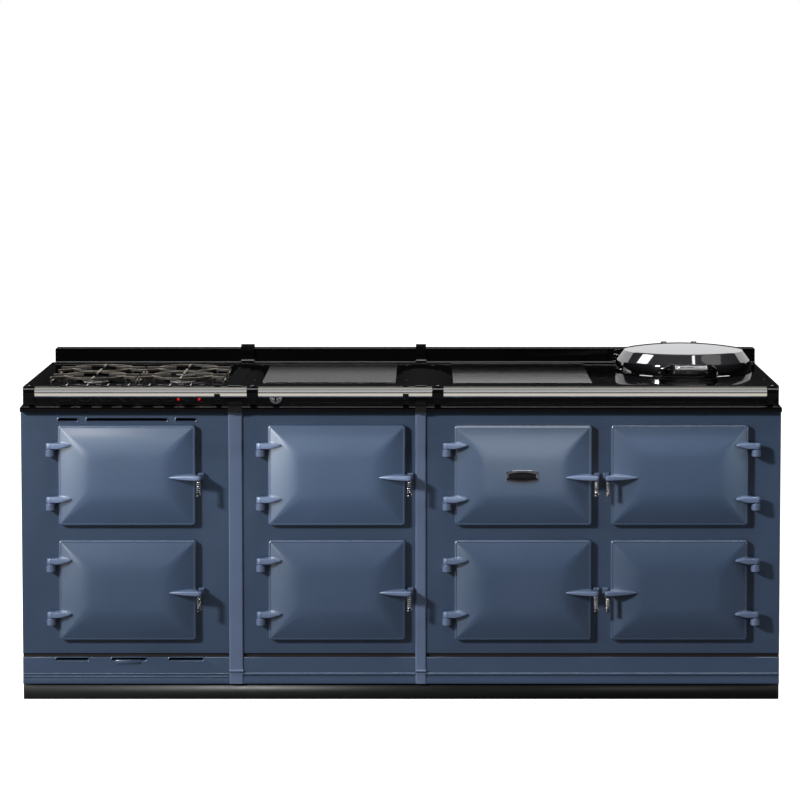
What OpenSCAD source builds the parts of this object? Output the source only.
// Cast iron range cooker with eight ovens in three modules, enamelled, with a steel handrail.
// Millimetres. The origin is on the floor under the middle of the cooker, +Z is up and -Y is the front.

/* [Modules] */
// Width of the left module, under the gas hob
left_w = 576; // [570:1:640]
// Width of the centre module, under the warming plate
centre_w = 480; // [470:1:560]
// Width of the right module, under the induction hob and the hotplate
right_w = 985; // [975:1:1060]
// Width of the cast strip over the left joint
joint_left_w = 39; // [24:1:60]
// Width of the cast strip over the right joint
joint_right_w = 30; // [24:1:60]
// How far the joint strips stand out from the front
joint_proud = 5; // [2:0.5:9]

/* [Cabinet] */
// Height of the recessed plinth
plinth_h = 46; // [40:1:60]
// Height of the moulded skirting above the plinth
skirting_h = 75; // [70:1:84]
// Height of the front castings' top edge above the floor
front_top = 810; // [800:1:830]
// Thickness of the front castings
front_t = 10; // [9:0.5:12]
// Thickness of the side, back and dividing sheets
sheet_t = 3; // [2:0.5:5]
// How far the fronts are set back from the front edge of the top plates
front_setback = 12; // [9:0.5:14]

/* [Doors] */
// Width of the centre module beside its doors, on the hinge side
hinge_room = 71.5; // [70:0.5:80]
// Width of the centre module beside its doors, on the latch side
latch_room = 27.5; // [26:0.5:36]
// Height of a door
door_h = 281; // [276:1:286]
// Height of a lower door's bottom edge above the floor
door_low_z = 171; // [165:1:175]
// Height between the lower and the upper doors
door_row_gap = 41; // [36:1:44]
// Centre of the left doors from the middle of their module, to the right
door_off_left = 7; // [0:1:12]
// Gap between the latches of the two doors side by side in the right module
latch_gap = 19; // [16:1:24]
// Share of the right module's spare width that lies left of its doors
door_share = 0.4369; // [0.35:0.0001:0.55]
// Thickness of a door at its rim
rim_t = 18; // [16:0.5:22]
// Rounding of the rim's edge
rim_r = 5; // [3:0.5:6]
// Height of the pillowed face above the rim
pillow_h = 24; // [18:1:28]
// Width of the sloping zone around the face
slope_w = 84; // [70:1:100]
// Rounding of a door's corners
door_corner_r = 9; // [6:0.5:12]
// Running gap between a closed door and the front
door_gap = 0.8; // [0.5:0.1:1.2]
// Depth of the pocket for insulation in a door's back
door_pocket_d = 26; // [20:1:28]

/* [Ovens] */
// How far a door covers the front beside its oven's mouth
mouth_edge_w = 16; // [14.5:0.5:19]
// How far a door covers the front above and below its oven's mouth
mouth_edge_h = 13.5; // [12:0.5:16.5]
// Depth of an oven behind the front casting
oven_d = 450; // [420:1:480]
// Thickness of an oven's cast walls
oven_wall = 8; // [6:0.5:9]
// How far the shelf runners stand out from the oven walls
runner_w = 8; // [6:0.5:9]
// Height between the shelf runners
runner_pitch = 62; // [54:1:66]
// Gap between a door's inner panel and the oven's mouth
liner_gap = 8; // [6:0.5:10]
// Depth of a door's inner panel
liner_d = 24; // [20:0.5:26]

/* [Hinges and latches] */
// Radius of a hinge pin
pin_r = 4; // [3.5:0.1:5]
// Radial clearance of a hinge pin in its strap
pin_clearance = 0.05; // [0.02:0.01:0.1]
// Distance of a hinge pin outside the door's edge
pin_out = 21; // [19:0.5:22]
// Distance of a hinge pin in front of the front casting
pin_ahead = 27; // [26:0.5:29]
// Radius of a strap's knuckle
strap_r = 11; // [10:0.5:12]
// Height of a strap
strap_h = 16; // [15:0.5:19]
// Length of a strap on the face of the door
strap_on_face = 36; // [30:1:40]
// Top of the upper strap below the top of the door
strap_drop_a = 49; // [44:1:54]
// Top of the lower strap below the top of the door
strap_drop_b = 199; // [194:1:204]
// Height of the fixed lug under a strap
lug_h = 17.5; // [15:0.5:20]
// Height of the raised washer on a lug
washer_h = 2.7; // [2:0.1:3.5]
// Gap between a strap and its lug's washer
lug_gap = 0.3; // [0.2:0.05:0.5]
// Top of the latch arm below the top of the door
latch_drop = 137; // [132:1:142]
// Thickness of the latch arm at its outer end
latch_h = 13; // [11:0.5:15]
// Length of the latch arm on the face of the door
latch_on_face = 72; // [66:1:78]
// Length of the latch arm past the door's edge
latch_past = 17; // [15:0.5:18]
// Distance of the latch grip in front of the front casting
grip_ahead = 55; // [54:0.5:57]

/* [Spring grips] */
// Length of a latch's spring grip
grip_len = 39; // [36:0.5:44]
// Mean radius of a latch's spring grip
grip_r = 5.4; // [5.2:0.1:6]
// Turns of a latch's spring grip
grip_turns = 6; // [5:1:7]
// Diameter of the wire of a latch's spring grip
grip_wire = 2.6; // [2.2:0.1:2.8]
// Length of the lid's spring handle
handle_len = 98; // [92:1:104]
// Mean radius of the lid's spring handle
handle_r = 12; // [11.5:0.1:13]
// Turns of the lid's spring handle
handle_turns = 16; // [14:1:16]
// Diameter of the wire of the lid's spring handle
handle_wire = 3; // [2.6:0.1:3.4]

/* [Top plates] */
// Depth of the top plates from their front edge to the wall
deck_d = 637; // [630:1:650]
// Height of the apron around the top plates
apron_h = 73; // [70:1:76]
// Thickness of the top plates
deck_t = 12; // [10:0.5:14]
// Thickness of the apron
apron_t = 12; // [11:0.5:13]
// How far the apron's lip stands out
lip_out = 8; // [5:0.5:9]
// Height of the apron's lip
lip_h = 20; // [16:0.5:22]
// Height of the upstand along the back
upstand_h = 46; // [40:1:52]
// Thickness of the upstand
upstand_t = 28; // [24:1:32]
// Radius of the cove at the foot of the upstand
cove_r = 9; // [6:0.5:9]
// Inset of the upstand's left end from the left edge
upstand_inset = 24; // [16:1:40]
// Extra height of the posts that end the joint strips
post_rise = 9; // [6:0.5:12]
// Depth of the recessed fascia
fascia_d = 3; // [2:0.5:4]

/* [Handrail] */
// Diameter of the handrail
rail_d = 29; // [26:0.5:30]
// Gap between the handrail and the top plates' front edge
rail_gap = 30; // [29:0.5:34]
// Height of the handrail's centre below the top of the plates
rail_drop = 13; // [11:0.5:15]
// Wall of the handrail's tube
rail_wall = 2; // [1.5:0.25:3]
// Clearance of the handrail in the arms under it
rail_clearance = 0.05; // [0.02:0.01:0.1]
// Wall of a bracket's collar around the handrail
collar_t = 2; // [1.5:0.25:3]
// Width of a bracket's collar
collar_w = 31; // [27:0.5:34]
// Distance of the brackets from the ends of a module
bracket_in = 32; // [30:0.5:36]

/* [Knobs and lamps] */
// Spacing of the knobs
knob_pitch = 57.4; // [54:0.2:59]
// First knob's centre from the left end of the cooker
knob_first = 123; // [118:1:126]
// Diameter of a knob
knob_d = 45; // [42:0.5:48]
// Depth of a knob
knob_depth = 24; // [21:0.5:24]
// Knob centres below the top of the plates
knob_drop = 21; // [20:0.5:23]
// Radius of the spindles behind the knobs
spindle_r = 3.5; // [3:0.1:4]
// Diameter of the warming plate's knob
warm_knob_d = 33; // [30:0.5:36]
// Warming plate's knob from the left edge of its module
warm_knob_at = 94; // [88:1:100]
// Warming plate's knob below the top of the plates
warm_knob_drop = 34; // [31:0.5:35]
// Diameter of a lamp's bezel
lamp_d = 12; // [10:0.5:14]
// Gap between the knobs and the front of the top plates
knob_gap = 1; // [0.5:0.1:1.5]
// Width of a gas tap's body
tap_w = 22; // [20:1:26]
// Depth of a gas tap's body
tap_d = 34; // [32:1:38]
// Width of an electric control's body
switch_w = 36; // [32:1:40]
// Depth of an electric control's body
switch_d = 26; // [22:1:30]
// Centre of the gas inlet from the left end of the cooker
inlet_in = 40; // [36:1:60]

/* [Gas hob] */
// Width of the sunken hob
well_w = 506; // [500:1:514]
// Depth of the sunken hob from front to back
well_d = 414; // [406:1:420]
// How far the hob is sunk
well_h = 3; // [2:0.5:4]
// Radius of the dish around a burner
dish_r = 56; // [48:1:60]
// Depth of the dish around a burner
dish_h = 6; // [4:0.5:7]
// Share of the left module's spare width that lies left of the hob
hob_share = 0.9; // [0.5:0.01:0.92]
// Front of the pan supports behind the plates' front edge
grate_back = 60; // [56:1:66]
// Width of one pan support
grate_w = 243; // [239:1:246]
// Depth of one pan support
grate_d = 392; // [386:1:398]
// Height of the pan supports' top above the plates
grate_h = 14; // [13:0.5:18]
// Thickness of the pan supports' bars
bar_t = 6; // [5:0.5:8]
// Radius of the bowed bars around a burner
bow_r = 86; // [80:1:90]
// Radius of a burner's cap
burner_r = 30; // [26:0.5:34]

/* [Plates] */
// Width of the warming plate
warm_w = 373; // [365:1:380]
// Depth of the warming plate from front to back
warm_d = 471; // [460:1:480]
// Warming plate from the left edge of its module
warm_in = 52; // [46:1:58]
// Warming plate behind the top plates' front edge
warm_back = 79; // [72:1:90]
// Width of the induction glass
glass_w = 388; // [380:1:394]
// Depth of the induction glass from front to back
glass_d = 534; // [520:1:538]
// Induction glass behind the top plates' front edge
glass_back = 54; // [48:1:60]
// Share of the right module's spare width that lies left of the glass
glass_share = 0.3731; // [0.3:0.0001:0.45]
// Radius of the hotplate
hotplate_r = 181; // [176:1:184]
// Thickness of the hotplate
hotplate_t = 46; // [40:1:56]

/* [Lid] */
// Radius of the lid at its foot
lid_r = 198; // [196:1:202]
// Share of the right module's spare width that lies right of the lid
lid_share = 0.209; // [0.18:0.001:0.26]
// Height of the lid's side band
lid_band_h = 32; // [28:1:34]
// Height of the lid's bevel
lid_bevel_h = 21; // [18:1:23]
// Height of the lid's dome
lid_dome_h = 25; // [20:1:30]
// Thickness of the lid's skin
lid_t = 3; // [2:0.5:4]
// Height of the lid's pivot above the plates
lid_pivot_h = 49; // [48:0.5:52]
// Radius of the lid's knuckles
knuckle_r = 12; // [10:0.5:12.5]
// Radius of the lid's hinge pins
lid_pin_r = 5; // [4:0.5:6]

/* [Terminal cover] */
// Width of the cover over the wiring terminals on the back
cover_w = 110; // [100:1:130]
// Height of the cover over the wiring terminals
cover_h = 80; // [70:1:100]
// Bottom of the cover above the plinth
cover_rise = 60; // [50:1:90]

/* [Hidden] */
$fn = 48;
eps = 0.01;
seat = 0.3;
range_w = left_w + joint_left_w + centre_w + joint_right_w + right_w;
range_d = deck_d + rail_gap + rail_d + collar_t;
module_w = [left_w, centre_w, right_w];
module_x = [
    -range_w / 2,
    -range_w / 2 + left_w + joint_left_w,
    range_w / 2 - right_w
];
joint_w = [joint_left_w, joint_right_w];
joint_x = [module_x[1] - joint_left_w, module_x[2] - joint_right_w];
deck_z = front_top + apron_h;
back_y = range_d / 2;
plate_y = back_y - deck_d;
front_y = plate_y + front_setback;
inner_y = front_y + front_t;
upstand_y = back_y - upstand_t;
upstand_z = deck_z + upstand_h;
panel_z = plinth_h + skirting_h;

door_w = centre_w - hinge_room - latch_room;
mouth_w = door_w - 2 * mouth_edge_w;
mouth_h = door_h - 2 * mouth_edge_h;
pin_x = -door_w / 2 - pin_out;
lug_r = strap_r + 1.5;
lug_reach = lug_r - pin_x;
pair_pitch = door_w + 2 * latch_past + latch_gap;
pair_x = lug_reach + door_share * (right_w - pair_pitch - 2 * lug_reach);

// Door columns: module, centre from the module's left edge, 1 for hinges on the left and -1 on the right
COLUMNS = [
    [0, left_w / 2 + door_off_left, 1],
    [1, hinge_room + door_w / 2, 1],
    [2, pair_x, 1],
    [2, pair_x + pair_pitch, -1]
];
DOORS = [1:8];
door_high_z = door_low_z + door_h + door_row_gap;
liner_w = mouth_w - 2 * liner_gap;
liner_h = mouth_h - 2 * liner_gap;
groove_h = 9;
groove_d = 6;
groove_z = panel_z;
latch_x = door_w / 2 + latch_past - latch_h / 2;
grip_rod_r = grip_r - grip_wire / 2 - 0.6;
grip_end_h = 6;
catch_d = 14;
rail_y = plate_y - rail_gap - rail_d / 2;
rail_z = deck_z - rail_drop;
fascia_y = plate_y + fascia_d;
fascia_z = front_top + lip_h + 6;
fascia_h = apron_h - lip_h - 13;
knob_z = deck_z - knob_drop;
hob_x = module_x[0] + well_w / 2 + hob_share * (left_w - well_w);
grate_y = plate_y + grate_back;
well_y = grate_y + (grate_d - well_d) / 2;
burner_gap_x = grate_w + 3;
burner_gap_y = 196;
finger_r = 36;
finger_y = 22;
slant_y = 58;
warm_x = module_x[1] + warm_in;
warm_y = plate_y + warm_back;
top_spare = right_w - glass_w - 2 * lid_r;
glass_x = module_x[2] + glass_share * top_spare;
glass_y = plate_y + glass_back;
plate_rise = 2;
lid_x = range_w / 2 - lid_r - lid_share * top_spare;
lid_z = deck_z + seat;
pivot_y = upstand_y - knuckle_r - 2;
lid_y = pivot_y - lid_r - 1;
pivot_z = deck_z + lid_pivot_h;
handle_y = lid_y - lid_r - 44;
handle_z = deck_z + 31;
lid_arm_x = 44;
lid_arm_w = 14;

// Recessed fascia of each module: from and to, from the module's left edge
FASCIA = [[76, left_w - 54], [44, centre_w - 56], [55, right_w - 60]];
// Vent slots over and under the left doors: start from the module's left edge, and length
VENTS_HIGH = [[102, 57], [181, 227], [429, 59]];
VENTS_LOW = [[90, 94], [246, 100], [406, 98]];
// Knobs on the left fascia, and how many of them work gas taps
KNOBS = 7;
TAPS = 5;
warm_knob_x = module_x[1] + warm_knob_at;
warm_knob_z = deck_z - warm_knob_drop;
control_y = plate_y + apron_t;
control_top = deck_z - deck_t - 1;
pipe_r = 9;
pipe_x = module_x[0] + inlet_in;
pipe_y = control_y + 30;
pipe_z = knob_z - 12;

ENAMEL = "#46566e";
BLACK = "#17181a";
STEEL = "#b9bbbd";
IRON = "#3a3b3c";
BRASS = "#b08d4c";
WORN = "#8f8a80";
CHROME = "#d5d8db";

// ---------- shared shapes ----------

// A profile in Y and Z, carried along X
module along_x(x, length) {
    translate([x, 0, 0]) rotate([90, 0, 90]) linear_extrude(length) children();
}

// A profile in X and Z, carried forward from y
module forward(y, length) {
    translate([0, y, 0]) rotate([90, 0, 0]) linear_extrude(length) children();
}

// Points of an arc, in steps from one angle to another
function arc(cx, cy, r, from, to, steps) =
    [for (i = [0:steps]) let (a = from + (to - from) * i / steps) [cx + r * cos(a), cy + r * sin(a)]];

module rounded(x, y, w, h, r) {
    translate([x + r, y]) square([w - 2 * r, h]);
    translate([x, y + r]) square([w, h - 2 * r]);
    for (cx = [x + r, x + w - r], cy = [y + r, y + h - r])
        translate([cx, cy]) circle(r);
}

module slot(x, z, length, height) {
    forward(inner_y + 1, front_t + 20) rounded(x, z, length, height, height / 2 - eps);
}

// Door number n: odd doors are above, even ones below
function column(n) = COLUMNS[floor((n - 1) / 2)];
function door_x(n) = module_x[column(n)[0]] + column(n)[1];
function door_z(n) = n % 2 == 1 ? door_high_z : door_low_z;

// Carries a left-hinged door piece to door n, turned over for hinges on the right
module at_door(n) {
    translate([door_x(n), front_y, door_z(n)])
        mirror([column(n)[2] > 0 ? 0 : 1, 0, 0])
            children();
}

// ---------- spring coils ----------

// Centre line of a coil along Z: [point, outward direction], with a straight end one wire long at both ends
function coil_path(r, turns, length, wire) =
    let (rings = 8 * turns, run = length - 2 * wire)
    concat(
        [[[r, 0, 0], [1, 0, 0]]],
        [for (i = [0:rings])
            let (a = 360 * i / 8)
            [[r * cos(a), r * sin(a), wire + run * i / rings], [cos(a), sin(a), 0]]],
        [[[r, 0, length], [1, 0, 0]]]
    );

function unit(v) = v / norm(v);
function heading(path, i) =
    i == 0 || i == len(path) - 1
        ? [0, 0, 1]
        : unit(unit(path[i + 1][0] - path[i][0]) + unit(path[i][0] - path[i - 1][0]));

// Least gap between wires more than half a turn apart
function coil_gap(path, wire) =
    min([for (i = [0:len(path) - 6], j = [i + 5:len(path) - 1])
        norm(path[i][0] - path[j][0])]) - wire;

module coil(r, turns, length, wire) {
    path = coil_path(r, turns, length, wire);
    sides = 6;
    rings = len(path);
    points = [
        for (i = [0:rings - 1], s = [0:sides - 1])
            let (out = path[i][1], side = cross(heading(path, i), out), a = 360 * s / sides)
            path[i][0] + wire / 2 * (cos(a) * out + sin(a) * side)
    ];
    walls = [
        for (i = [0:rings - 2], s = [0:sides - 1])
            let (p = i * sides + s, q = i * sides + (s + 1) % sides)
            each [[p, p + sides, q], [q, p + sides, q + sides]]
    ];
    foot = [for (s = [1:sides - 2]) [0, s, s + 1]];
    top = (rings - 1) * sides;
    head = [for (s = [1:sides - 2]) [top, top + s + 1, top + s]];
    echo(coil_turns = turns, least_gap = coil_gap(path, wire));
    polyhedron(points, concat(walls, foot, head));
}

// ---------- cabinet ----------

module plinth() {
    color(BLACK) difference() {
        translate([-range_w / 2, inner_y - 4, 0])
            cube([range_w, back_y - 10 - inner_y + 4, plinth_h]);
        for (i = [0:2])
            translate([module_x[i] + 6, inner_y + 6, -1])
                cube([module_w[i] - 12, back_y - 22 - inner_y, plinth_h - 3]);
    }
}

// Side, dividing and back sheets, and the cover of the wiring terminals on the back
module casing() {
    back = back_y - apron_t - sheet_t;
    color(ENAMEL)
    for (x = [-range_w / 2, range_w / 2 - sheet_t])
        translate([x, inner_y, plinth_h]) cube([sheet_t, back - seat - inner_y, front_top - plinth_h]);
    color(STEEL)
    for (i = [0:2])
        translate([module_x[i], back, plinth_h]) cube([module_w[i], sheet_t, front_top - plinth_h]);
    color(STEEL)
    for (i = [0:1], x = [joint_x[i] - sheet_t, joint_x[i] + joint_w[i]])
        translate([x, inner_y, plinth_h])
            cube([sheet_t, back - seat - inner_y, front_top - plinth_h]);
    color(STEEL)
    translate([module_x[2] + module_w[2] / 2, back + sheet_t + seat, plinth_h + cover_rise])
        cube([cover_w, apron_t - 2 * seat, cover_h]);
}

// Skirting profile: quarter-round top, one or two beads and a foot that turns out
function skirting(beads) =
    let (top = groove_z, bead_r = beads == 2 ? 2.2 : 4, bead_z = plinth_h + 27, out = front_y - 1)
    concat(
        [[inner_y, plinth_h], [inner_y, top]],
        arc(out + 4, top - 4, 4, 90, 180, 4),
        [for (b = [0:beads - 1])
            each arc(out - 0.5 * b, bead_z - 8 * b, bead_r, 90, 270, 6)],
        [[out - 1, bead_z - 12], [out - 3, plinth_h + 5], [out - 2, plinth_h]]
    );

module front(i) {
    color(ENAMEL) difference() {
        union() {
            along_x(module_x[i], module_w[i]) polygon(concat(
                [[inner_y, groove_z], [inner_y, front_top]],
                arc(front_y + 2, front_top - 2, 2, 90, 180, 3),
                arc(front_y + 3, groove_z + groove_h + 3, 3, 180, 270, 3),
                [[front_y + groove_d, groove_z + groove_h], [front_y + groove_d, groove_z]]
            ));
            along_x(module_x[i], module_w[i]) polygon(skirting(i == 0 ? 2 : 1));
        }
        for (n = DOORS)
            if (column(n)[0] == i)
                forward(inner_y + 1, front_t + 2) rounded(
                    door_x(n) - mouth_w / 2, door_z(n) + mouth_edge_h, mouth_w, mouth_h, 12
                );
        if (i == 0) vents();
    }
}

module vents() {
    for (s = VENTS_HIGH) slot(module_x[0] + s[0], door_high_z + door_h + 6, s[1], 12);
    for (s = VENTS_LOW) slot(module_x[0] + s[0], groove_z - 13, s[1], 11);
}

// Enamelled bars over the joints in the front, and black strips back over the top plates to their posts
module joint_strips() {
    color(ENAMEL)
    for (i = [0:1]) {
        translate([0, 0, plinth_h]) linear_extrude(front_top - seat - plinth_h)
            joint_bar_plan(joint_x[i], joint_w[i]);
        along_x(joint_x[i], joint_w[i])
            translate([front_y - joint_proud, plinth_h + 36]) circle(4);
    }
    color(BLACK)
    for (i = [0:1])
        along_x(joint_x[i], joint_w[i]) polygon(joint_cap());
}

module joint_bar_plan(x, w) {
    r = 4;
    translate([x, front_y - joint_proud + r]) square([w, joint_proud + front_t - r]);
    translate([x + r, front_y - joint_proud]) square([w - 2 * r, r + 1]);
    for (cx = [x + r, x + w - r])
        translate([cx, front_y - joint_proud + r]) circle(r);
}

function joint_cap() =
    let (
        rise = 3,
        top = deck_z + rise,
        face = plate_y - 2,
        post_y = upstand_y - 5,
        post_z = upstand_z + post_rise
    )
    concat(
        [[inner_y, front_top], [face - lip_out, front_top], [face - lip_out, front_top + lip_h - 4]],
        [[face, front_top + lip_h + 4]],
        arc(face + 6, top - 6, 6, 180, 90, 4),
        arc(post_y - 16, top + 16, 16, 270, 360, 5),
        [[post_y, post_z - 5], [post_y + 5, post_z], [back_y - 5, post_z], [back_y, post_z - 5]],
        [[back_y, front_top], [back_y - apron_t, front_top], [back_y - apron_t, deck_z - deck_t]],
        [[plate_y + apron_t, deck_z - deck_t], [plate_y + apron_t, front_top + 12]],
        [[inner_y, front_top + 12]]
    );

// ---------- ovens ----------

module oven_column(c) {
    color(IRON)
    for (n = [2 * c - 1, 2 * c])
        translate([door_x(n), inner_y, door_z(n) + mouth_edge_h]) oven();
}

// One cast oven, open to the front, with shelf runners down both sides
module oven() {
    translate([-mouth_w / 2, 0, 0]) difference() {
        translate([-oven_wall, 0, -oven_wall])
            cube([mouth_w + 2 * oven_wall, oven_d + oven_wall, mouth_h + 2 * oven_wall]);
        translate([0, -1, 0]) cube([mouth_w, oven_d + 1, mouth_h]);
    }
    for (side = [0, 1], k = [1:3])
        mirror([side, 0, 0])
            translate([-mouth_w / 2 - eps, 24, k * runner_pitch - 20])
                cube([runner_w, oven_d - 40, 6]);
}

// Grid shelves on the lowest runners
module oven_shelves() {
    w = mouth_w - 6;
    d = oven_d - 60;
    wire = 6;
    color(CHROME)
    for (n = DOORS)
        translate([door_x(n) - w / 2, inner_y + 40, door_z(n) + mouth_edge_h + runner_pitch - 14]) {
            difference() {
                cube([w, d, wire]);
                translate([wire, wire, -1]) cube([w - 2 * wire, d - 2 * wire, wire + 2]);
            }
            for (k = [1:11])
                translate([k * w / 12 - wire / 4, wire / 2, 1]) cube([wire / 2, d - wire, wire - 2]);
        }
}

// ---------- doors ----------

// Rise of the face above the rim, steep at the edge and level in the middle
function rise(u) = pillow_h * (1 - pow(max(0, 1 - u / slope_w), 2.4));

// Section across a door of a given span: round rim, hollow flank and pillow
function door_half() =
    let (steps = 12)
    concat(
        arc(rim_r, rim_t - rim_r, rim_r, 180, 100, 4),
        [for (i = [0:steps]) let (u = slope_w * i / steps) [rim_r + 2 + u, rim_t + rise(u)]]
    );
function door_section(span) =
    let (half = door_half(), last = len(half) - 1)
    concat(
        [[0, 0]], half,
        [for (i = [last:-1:0]) [span - half[i][0], half[i][1]]],
        [[span, 0]]
    );

module door(n) {
    color(ENAMEL) at_door(n) {
        difference() {
            union() {
                door_skin();
                strap(door_h - strap_drop_a - strap_h);
                strap(door_h - strap_drop_b - strap_h);
            }
            for (drop = [strap_drop_a, strap_drop_b])
                translate([pin_x, -pin_ahead, door_h - drop - strap_h - 1])
                    cylinder(r = pin_r + pin_clearance, h = strap_h - 3);
        }
        latch();
    }
}

// The cast face: two sections crossed, so that their slopes meet in diagonal ridges
module door_skin() {
    difference() {
        intersection() {
            linear_extrude(door_h)
                polygon([for (p = door_section(door_w)) [p[0] - door_w / 2, -door_gap - p[1]]]);
            along_x(-door_w / 2, door_w)
                polygon([for (p = door_section(door_h)) [-door_gap - p[1], p[0]]]);
            forward(0, rim_t + pillow_h + 10)
                rounded(-door_w / 2, 0, door_w, door_h, door_corner_r);
        }
        forward(1, door_pocket_d + door_gap + 1) rounded(
            -liner_w / 2 + 14, (door_h - liner_h) / 2 + 14, liner_w - 28, liner_h - 28, 10
        );
    }
}

// Tapered strap from the hinge knuckle onto the face
module strap(z) {
    tip = -door_w / 2 + strap_on_face;
    front = rim_t + rise(strap_on_face) + 5;
    translate([0, 0, z]) intersection() {
        linear_extrude(strap_h) {
            translate([pin_x, -pin_ahead]) circle(strap_r);
            polygon([
                [pin_x, -pin_ahead - strap_r], [tip - 12, -front], [tip, -front + 5],
                [tip, -rim_t], [-door_w / 2 + 6, -door_gap - 6], [pin_x + 4, -pin_ahead + strap_r - 2]
            ]);
        }
        forward(0, 80) polygon([
            [pin_x - strap_r - 1, 0], [-door_w / 2 + 2, 0], [tip, strap_h * 0.6], [tip, strap_h - 3],
            [tip - 8, strap_h], [pin_x - strap_r + 2, strap_h], [pin_x - strap_r - 1, strap_h - 3]
        ]);
    }
}

// Pointed arm across the free edge, the rod under its end for the grip, and the nose that meets the catch
module latch() {
    z = door_h - latch_drop - latch_h;
    tip = door_w / 2 - latch_on_face;
    r = latch_h / 2;
    translate([0, 0, z]) {
        intersection() {
            linear_extrude(latch_h) {
                translate([latch_x, -grip_ahead]) circle(r);
                polygon([
                    [tip, -rim_t - pillow_h + 2], [tip, -rim_t - pillow_h - 4],
                    [latch_x, -grip_ahead - r], [latch_x + r, -grip_ahead],
                    [latch_x + r, -catch_d - seat], [latch_x - 1, -catch_d - seat],
                    [latch_x - 1, -grip_ahead + r + 4], [door_w / 2 - 8, -rim_t - 5]
                ]);
            }
            forward(0, 80) polygon([
                [tip, latch_h * 0.35], [latch_x - r, 0], [latch_x + r, 0],
                [latch_x + r, latch_h], [latch_x - r, latch_h], [tip, latch_h * 0.75]
            ]);
        }
        translate([latch_x, -grip_ahead, -grip_len - grip_end_h]) {
            cylinder(r = grip_r + grip_wire / 2 + 0.4, h = grip_end_h);
            cylinder(r = grip_rod_r, h = grip_len + grip_end_h + 1);
        }
    }
}

module door_liner(n) {
    color(STEEL) at_door(n) {
        forward(liner_d - door_gap, liner_d) rounded(
            -liner_w / 2 + 6, (door_h - liner_h) / 2 + 6, liner_w - 12, liner_h - 12, 10
        );
        forward(liner_d - door_gap - 6, liner_d - 6)
            rounded(-liner_w / 2, (door_h - liner_h) / 2, liner_w, liner_h, 10);
    }
}

module latch_grip(n) {
    color(CHROME) at_door(n)
        translate([latch_x, -grip_ahead, door_h - latch_drop - latch_h - grip_len])
            coil(grip_r, grip_turns, grip_len, grip_wire);
}

// Fixed half of a hinge: a block with a round front, a raised washer and the pin
module hinge_lug() {
    linear_extrude(lug_h) {
        translate([0, -pin_ahead]) circle(lug_r);
        translate([-lug_r, -pin_ahead]) square([2 * lug_r, pin_ahead]);
    }
    translate([0, -pin_ahead, lug_h - 1]) {
        cylinder(r = strap_r - 3, h = washer_h + 1);
        cylinder(r = pin_r, h = washer_h + lug_gap + strap_h - 4);
    }
}

// Every fixed hinge half, and the catch that each latch closes on
module door_lugs() {
    color(ENAMEL)
    for (n = DOORS)
        at_door(n) {
            for (drop = [strap_drop_a, strap_drop_b])
                translate([pin_x, 0, door_h - drop - strap_h - lug_gap - washer_h - lug_h])
                    hinge_lug();
            translate([latch_x - 5, -catch_d, door_h - latch_drop - latch_h - 2])
                cube([16, catch_d, latch_h + 4]);
        }
}

// ---------- top plates ----------

// Deck and apron in Y and Z: rounded front edge, recessed fascia and a lip along the bottom
function deck_section() =
    concat(
        [[inner_y, front_top]],
        arc(plate_y - lip_out + 3, front_top + 3, 3, 270, 180, 3),
        arc(plate_y - lip_out + 4, front_top + lip_h - 8, 4, 180, 110, 3),
        [[plate_y, front_top + lip_h]],
        arc(plate_y + 7, deck_z - 7, 7, 180, 90, 5),
        arc(upstand_y - cove_r, deck_z + cove_r, cove_r, 270, 360, 5),
        arc(upstand_y + 4, upstand_z - 4, 4, 180, 90, 4),
        [[back_y, upstand_z], [back_y, front_top]]
    );

// The same castings across X, closed square at a joint and turned out over an end of the cooker
function end_section(x, w, left_end, right_end) =
    let (in = lip_out, edge = 6, top = upstand_z)
    concat(
        left_end
            ? concat(
                [[x, front_top], [x, front_top + lip_h - 8], [x + in, front_top + lip_h + 2]],
                arc(x + in + edge, deck_z - edge, edge, 180, 90, 4),
                [[x + upstand_inset, deck_z], [x + upstand_inset, top - 4], [x + upstand_inset + 4, top]]
            )
            : [[x, front_top], [x, top]],
        right_end
            ? concat(
                [[x + w - in - 4, top], [x + w - in, top - 4], [x + w - in, front_top + lip_h + 2]],
                [[x + w, front_top + lip_h - 8], [x + w, front_top]]
            )
            : [[x + w, top], [x + w, front_top]]
    );

// A top plate before its own cuts, hollow from below but for a ledge over the front casting
module plate_casting(i) {
    x = module_x[i] + apron_t;
    w = module_w[i] - 2 * apron_t;
    ledge_h = 12;
    difference() {
        intersection() {
            along_x(module_x[i], module_w[i]) polygon(deck_section());
            forward(back_y, range_d)
                polygon(end_section(module_x[i], module_w[i], i == 0, i == 2));
        }
        translate([x, control_y, front_top + ledge_h])
            cube([w, deck_d - 2 * apron_t, apron_h - deck_t - ledge_h]);
        translate([x, inner_y, front_top - 1])
            cube([w, back_y - apron_t - inner_y, ledge_h + 2]);
    }
}

module top_plate(i) {
    color(BLACK) difference() {
        union() {
            plate_casting(i);
            if (i == 2) lid_knuckles();
        }
        forward(fascia_y, 30) rounded(
            module_x[i] + FASCIA[i][0], fascia_z, FASCIA[i][1] - FASCIA[i][0], fascia_h, 10
        );
        if (i == 0) {
            hob_well();
            for (n = [1:KNOBS]) front_bore(knob_x(n), knob_z);
            gas_inlet(pipe_r + 2, 40);
        }
        if (i == 1) {
            plate_pocket(warm_x, warm_y, warm_w, warm_d, 6);
            front_bore(warm_knob_x, warm_knob_z);
        }
        if (i == 2) {
            plate_pocket(glass_x, glass_y, glass_w, glass_d, 3);
            translate([lid_x, lid_y, deck_z - deck_t - 1]) cylinder(r = hotplate_r + 1, h = deck_t + 2);
        }
    }
}

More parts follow.
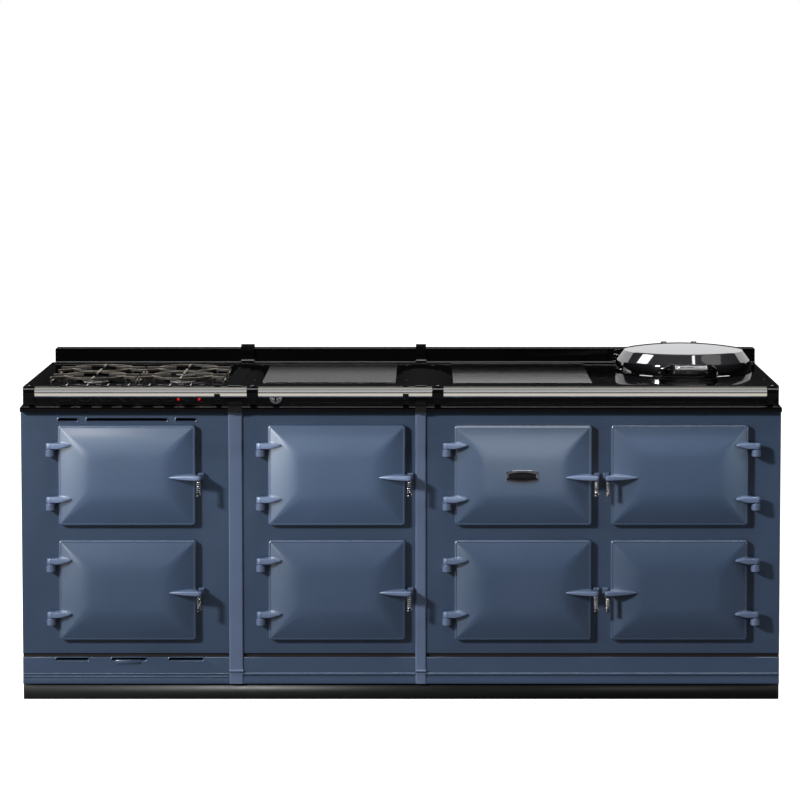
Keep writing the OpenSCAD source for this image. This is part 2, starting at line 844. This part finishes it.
// The sunken hob, with a dish around each burner
module hob_well() {
    translate([0, 0, deck_z - well_h]) linear_extrude(well_h + 1)
        rounded(hob_x - well_w / 2, well_y, well_w, well_d, 24);
    for (x = [-1, 1], y = [-1, 1])
        translate([burner_x(x), burner_y(y), deck_z - well_h - dish_h])
            cylinder(r = dish_r, h = dish_h + 1);
}

module plate_pocket(x, y, w, d, depth) {
    translate([0, 0, deck_z - depth]) linear_extrude(depth + 1)
        rounded(x - 1, y - 1, w + 2, d + 2, 9);
}

module front_bore(x, z) {
    translate([x, control_y + 1, z]) rotate([90, 0, 0])
        cylinder(r = spindle_r + 0.5, h = apron_t + 2);
}

// ---------- handrail ----------

// Collars: each module's left bracket, and the right end of the cooker
function collar_x(i) = i < 3 ? module_x[i] + bracket_in : range_w / 2 - bracket_in;

module handrails() {
    color(STEEL)
    for (i = [0:2]) {
        from = collar_x(i) + collar_w / 2;
        to = collar_x(i + 1) - collar_w / 2;
        translate([from, rail_y, rail_z]) rotate([0, 90, 0]) difference() {
            cylinder(r = rail_d / 2, h = to - from);
            translate([0, 0, -1]) cylinder(r = rail_d / 2 - rail_wall, h = to - from + 2);
        }
    }
}

module rail_brackets() {
    color(BLACK) {
        for (i = [0:3]) bracket_collar(collar_x(i));
        for (i = [0:1]) bracket_arm(joint_x[i] - bracket_in + 6, 16);
    }
}

// Collar between two lengths of rail, on a web from the apron, with a domed nut on top
module bracket_collar(x) {
    r = rail_d / 2;
    foot_z = front_top + lip_h + 1;
    along_x(x - collar_w / 2, collar_w) translate([rail_y, rail_z]) circle(r + collar_t);
    along_x(x - 9, 18) polygon([
        [plate_y, rail_z + 9], [plate_y, foot_z], [plate_y - 6, foot_z],
        [plate_y - 15, rail_z - 20], [rail_y, rail_z - r - 2], [rail_y, rail_z + 6]
    ]);
    translate([x, rail_y, rail_z + r]) bracket_cap();
}

// Scrolled arm in Y and Z, from its foot on the apron out under the rail
module bracket_arm(x, width) {
    r = rail_d / 2;
    foot_z = front_top + lip_h + 1;
    along_x(x - width / 2, width) difference() {
        union() {
            polygon([
                [plate_y, rail_z + 9], [plate_y, foot_z], [plate_y - 5, foot_z],
                [plate_y - 14, rail_z - 26], [rail_y - 4, rail_z - r - 7],
                [rail_y - 13, rail_z - 8], [rail_y, rail_z], [rail_y + r + 4, rail_z + 4]
            ]);
            translate([rail_y + 2, rail_z - 2]) circle(r + 4);
        }
        translate([rail_y, rail_z]) circle(r + rail_clearance);
        translate([rail_y - 40, rail_z - 4]) square(40);
        translate([plate_y - 12, rail_z - 22]) circle(5);
    }
}

module bracket_cap() {
    rotate_extrude() polygon(concat(
        [[0, 0], [11, 0], [11, 3], [9, 4]], arc(0, -1, 10.3, 30, 90, 4)
    ));
}

// ---------- controls ----------

function knob_x(n) = module_x[0] + knob_first + (n - 1) * knob_pitch;

// A knob with its pointer ridge, pointing forward from the origin
module knob_body(d) {
    rotate([90, 0, 0]) {
        difference() {
            rotate_extrude() polygon(concat(
                [[0, 0], [d / 2, 0], [d / 2, 3], [d / 2 - 3, 5]],
                arc(d / 2 - 7, knob_depth - 7, 3, 0, 90, 3),
                [[0, knob_depth - 4]]
            ));
            translate([0, 0, -1]) cylinder(r = spindle_r + pin_clearance, h = 13);
        }
        translate([-d * 0.11, -d / 2 + 5, knob_depth - 6]) cube([d * 0.22, d - 10, 6]);
    }
}

module control_knob(n) {
    color(BLACK) translate([knob_x(n), plate_y - knob_gap, knob_z]) knob_body(knob_d);
}

module warming_knob() {
    color(CHROME) translate([warm_knob_x, plate_y - knob_gap, warm_knob_z]) knob_body(warm_knob_d);
}

// Pipe from the back of the cooker forward to the taps
module gas_inlet(r, past) {
    translate([pipe_x, pipe_y, pipe_z]) rotate([-90, 0, 0])
        cylinder(r = r, h = back_y - pipe_y + past);
}

// Gas pipe with its taps, the three electric controls, and every spindle
module gas_manifold() {
    color(BRASS) {
        translate([pipe_x, pipe_y, pipe_z]) rotate([0, 90, 0])
            cylinder(r = pipe_r, h = knob_x(TAPS) - pipe_x);
        gas_inlet(pipe_r, 0);
        for (n = [1:TAPS]) control_block(knob_x(n), tap_w, tap_d, tap_w);
    }
    color(STEEL) {
        for (n = [TAPS + 1:KNOBS]) control_block(knob_x(n), switch_w, switch_d, switch_d);
        control_block(warm_knob_x, switch_d, tap_w, switch_w);
        for (n = [1:KNOBS]) spindle(knob_x(n), knob_z);
        spindle(warm_knob_x, warm_knob_z);
    }
}

// Body of a tap or a switch, behind the apron and close under the deck
module control_block(x, w, d, h) {
    translate([x - w / 2, control_y, control_top - h]) cube([w, d, h]);
}

module spindle(x, z) {
    translate([x, control_y + 2, z]) rotate([90, 0, 0])
        cylinder(r = spindle_r, h = 2 + apron_t + knob_gap + 11);
}

module indicator_lamps() {
    color("red")
    for (n = [TAPS + 1:KNOBS])
        translate([knob_x(n) + knob_pitch / 2, fascia_y, fascia_z + lamp_d / 2 + 3])
            rotate([90, 0, 0]) rotate_extrude() polygon(concat(
                [[0, 0], [lamp_d / 2, 0], [lamp_d / 2, 2], [lamp_d / 2 - 1.5, 3]],
                arc(0, 1, lamp_d / 2 - 1.6, 30, 90, 4)
            ));
}

// ---------- gas hob ----------

function burner_x(s) = hob_x + s * burner_gap_x / 2;
function burner_y(b) = grate_y + grate_d / 2 + b * burner_gap_y / 2;

module burners() {
    color(STEEL)
    for (s = [-1, 1], b = [-1, 1])
        translate([burner_x(s), burner_y(b), deck_z - well_h - dish_h]) {
            difference() {
                cylinder(r = burner_r + 6, h = 7);
                for (a = [0:15:345])
                    rotate([0, 0, a]) translate([burner_r + 2, -1.2, 3]) cube([6, 2.4, 6]);
            }
            translate([0, 0, 7 - eps]) rotate_extrude() polygon(concat(
                [[0, 0], [burner_r, 0], [burner_r, 2]], arc(burner_r - 4, 2, 4, 0, 90, 3), [[0, 6]]
            ));
        }
}

// One pan support over two burners: an open grid of bars on low side rails, its feet inside the bars
module pan_support(s) {
    rail_h = 5;
    foot_h = grate_h + well_h - seat;
    end = burner_gap_y / 2;
    color(WORN) translate([burner_x(s), 0, deck_z + grate_h]) {
        translate([0, 0, -bar_t]) linear_extrude(bar_t) {
            for (b = [-1, 1]) translate([0, burner_y(b)]) grate_plan();
            for (run = [[-end, -finger_r], [finger_r, 2 * end - finger_r], [2 * end + finger_r, 3 * end]])
                translate([-bar_t / 2, burner_y(-1) + run[0]]) square([bar_t, run[1] - run[0]]);
        }
        for (b = [-1, 1], side = [-1, 1])
            translate([side * (grate_w - bar_t) / 2, burner_y(b), -foot_h]) {
                translate([-bar_t / 2, -slant_y - 4, 0])
                    cube([bar_t, slant_y + 4 + finger_y + bar_t / 2, rail_h]);
                for (y = [-slant_y, finger_y]) translate([0, y, 0]) foot(foot_h - 1);
            }
        for (b = [-1, 1], side = [-1, 1])
            translate([side * sqrt(pow(bow_r, 2) - pow(finger_y, 2)), burner_y(b) + finger_y, -foot_h])
                foot(foot_h - 1);
    }
}

module foot(h) {
    t = bar_t - 2;
    translate([-t / 2, -t / 2, 0]) cube([t, t, h]);
}

// Bars round one burner: bows before and behind it, straight fingers level with it and slanted ones in front
module grate_plan() {
    half = grate_w / 2;
    difference() {
        circle(bow_r + bar_t / 2);
        circle(bow_r - bar_t / 2);
        translate([-bow_r - bar_t, bar_t / 2 - finger_y])
            square([2 * (bow_r + bar_t), 2 * finger_y - bar_t]);
    }
    for (side = [0, 1])
        mirror([side, 0]) {
            translate([finger_r, finger_y - bar_t / 2]) square([half - finger_r, bar_t]);
            translate([half - bar_t / 2, -slant_y]) rotate(149) translate([0, -bar_t / 2])
                square([66, bar_t]);
            translate([half - bar_t, -slant_y - bar_t]) square([bar_t, 2 * bar_t]);
        }
}

// ---------- plates ----------

module warming_plate() {
    color("#77787a") translate([0, 0, deck_z - 6])
        linear_extrude(6 + plate_rise) rounded(warm_x, warm_y, warm_w, warm_d, 8);
}

module induction_glass() {
    color("#0b0c0e") translate([0, 0, deck_z - 3])
        linear_extrude(3 + plate_rise) rounded(glass_x, glass_y, glass_w, glass_d, 8);
}

// Thick cast disc, held up under the top plate by its flange
module hotplate() {
    color(IRON) translate([lid_x, lid_y, deck_z]) rotate_extrude() polygon([
        [0, plate_rise - hotplate_t], [hotplate_r - 22, plate_rise - hotplate_t],
        [hotplate_r - 22, -deck_t - 6],
        [hotplate_r + 8, -deck_t - 6], [hotplate_r + 8, -deck_t], [hotplate_r, -deck_t],
        [hotplate_r, 1], [hotplate_r - 1, plate_rise], [0, plate_rise]
    ]);
}

// ---------- lid ----------

// Outside of the lid from its foot to its crown, drawn in by t
function lid_outline(t) =
    let (
        shoulder = lid_r - 5,
        crown = lid_r - 30,
        z1 = lid_band_h,
        z2 = lid_band_h + lid_bevel_h,
        dome_r = (crown * crown + lid_dome_h * lid_dome_h) / (2 * lid_dome_h),
        sweep = asin(crown / dome_r)
    )
    concat(
        [[lid_r - t, 0], [shoulder - t, z1 - t / 2], [crown - t / 2, z2 - t]],
        [for (i = [1:7])
            let (a = sweep * (1 - i / 7))
            [
                (dome_r - t) * sin(a) * (crown - t / 2) / crown,
                z2 + lid_dome_h - dome_r + (dome_r - t) * cos(a)
            ]]
    );

module lid_shell() {
    translate([lid_x, lid_y, lid_z]) {
        color(CHROME) rotate_extrude() polygon(concat(
            lid_outline(0), [for (i = [9:-1:0]) lid_outline(lid_t)[i]]
        ));
    }
    color(BLACK) difference() {
        union() {
            for (side = [-1, 1]) {
                lid_arm(side);
                handle_mount(side);
            }
            translate([lid_x - handle_len / 2 - 1, handle_y, handle_z]) rotate([0, 90, 0])
                cylinder(r = handle_r - handle_wire / 2 - 3, h = handle_len + 2);
        }
        translate([lid_x - lid_arm_x - lid_arm_w, pivot_y, pivot_z]) rotate([0, 90, 0])
            cylinder(r = lid_pin_r + pin_clearance, h = 2 * (lid_arm_x + lid_arm_w));
        lid_hollow();
    }
}

// Everything under the lid's skin
module lid_hollow() {
    translate([lid_x, lid_y, lid_z - 1]) rotate_extrude()
        polygon(concat([[0, 0], [lid_r - lid_t, 0]], lid_outline(lid_t)));
}

// Arm from the crown back and up to the pivot
module lid_arm(side) {
    foot_y = lid_y + lid_r;
    crown_z = lid_z + lid_band_h + lid_bevel_h;
    along_x(lid_x + side * lid_arm_x - lid_arm_w / 2, lid_arm_w) {
        translate([pivot_y, pivot_z]) circle(knuckle_r);
        polygon([
            [pivot_y, pivot_z + knuckle_r], [pivot_y, pivot_z - knuckle_r],
            [foot_y - 34, lid_z + lid_band_h + 8], [foot_y - 60, crown_z], [foot_y - 64, crown_z + 9]
        ]);
    }
}

// Round end of the spring handle, on an arm that curves out and back to the lid's band
module handle_mount(side) {
    boss_w = 12;
    arm_w = 11;
    root_x = handle_len / 2 + 26;
    root_y = lid_y - sqrt(pow(lid_r, 2) - pow(root_x, 2));
    boss_x = handle_len / 2 + boss_w / 2;
    run = root_y - handle_y;
    out = root_x - boss_x;
    bend_r = (pow(run, 2) + pow(out, 2)) / (2 * out);
    sweep = asin(run / bend_r);
    cx = root_x - bend_r;
    translate([lid_x, 0, 0]) mirror([side > 0 ? 0 : 1, 0, 0]) {
        along_x(handle_len / 2, boss_w) translate([handle_y, handle_z]) circle(handle_r);
        intersection() {
            translate([0, 0, lid_z + 1]) linear_extrude(lid_band_h + lid_bevel_h) polygon(concat(
                arc(cx, root_y, bend_r + arm_w / 2, -sweep, 0, 6),
                [[root_x + arm_w / 2, root_y + 16], [root_x - arm_w / 2, root_y + 16]],
                arc(cx, root_y, bend_r - arm_w / 2, 0, -sweep, 6)
            ));
            along_x(0, lid_r) polygon([
                [handle_y - handle_r, handle_z - 7], [root_y - 20, handle_z - 10],
                [root_y + 16, handle_z - 15], [root_y + 16, handle_z + 5],
                [root_y - 20, handle_z + 8], [handle_y - handle_r, handle_z + 7]
            ]);
        }
    }
}

// Insulated inner plate that closes the lid from below
module lid_liner() {
    color(STEEL) translate([lid_x, lid_y, lid_z]) rotate_extrude() polygon([
        [0, 5], [lid_r - 16, 5], [lid_r - 14, 3], [lid_r - lid_t - 0.5, 3],
        [lid_r - lid_t - 1.5, 9], [0, 9]
    ]);
}

module lid_handle() {
    color(CHROME) translate([lid_x - handle_len / 2, handle_y, handle_z])
        rotate([0, 90, 0]) coil(handle_r, handle_turns, handle_len, handle_wire);
}

// Knuckles cast on the upstand, outside the lid's arms, with their pins
module lid_knuckles() {
    for (side = [0, 1])
        translate([lid_x, 0, 0]) mirror([side, 0, 0]) {
            along_x(lid_arm_x + lid_arm_w / 2 + 1, 16) {
                translate([pivot_y, pivot_z]) circle(knuckle_r);
                translate([pivot_y, pivot_z - knuckle_r])
                    square([upstand_y + 1 - pivot_y, upstand_z - pivot_z + knuckle_r - 5]);
            }
            translate([lid_arm_x - lid_arm_w / 2 - 1, pivot_y, pivot_z]) rotate([0, 90, 0])
                cylinder(r = lid_pin_r, h = lid_arm_w + 4);
        }
}

// ---------- every piece by name ----------

plinth();
casing();
front(0);  // front_left
front(1);  // front_centre
front(2);  // front_right
joint_strips();
for (c = [1:4])
    oven_column(c);
oven_shelves();
door_lugs();
top_plate(0);  // top_plate_left
top_plate(1);  // top_plate_centre
top_plate(2);  // top_plate_right
handrails();
rail_brackets();
gas_manifold();
indicator_lamps();
burners();
warming_plate();
induction_glass();
hotplate();
for (n = DOORS) {
    door(n);
    door_liner(n);
    latch_grip(n);
}
for (n = [1:KNOBS])
    control_knob(n);
warming_knob();
pan_support(-1);  // pan_support_left
pan_support(1);  // pan_support_right
lid_shell();
lid_liner();
lid_handle();
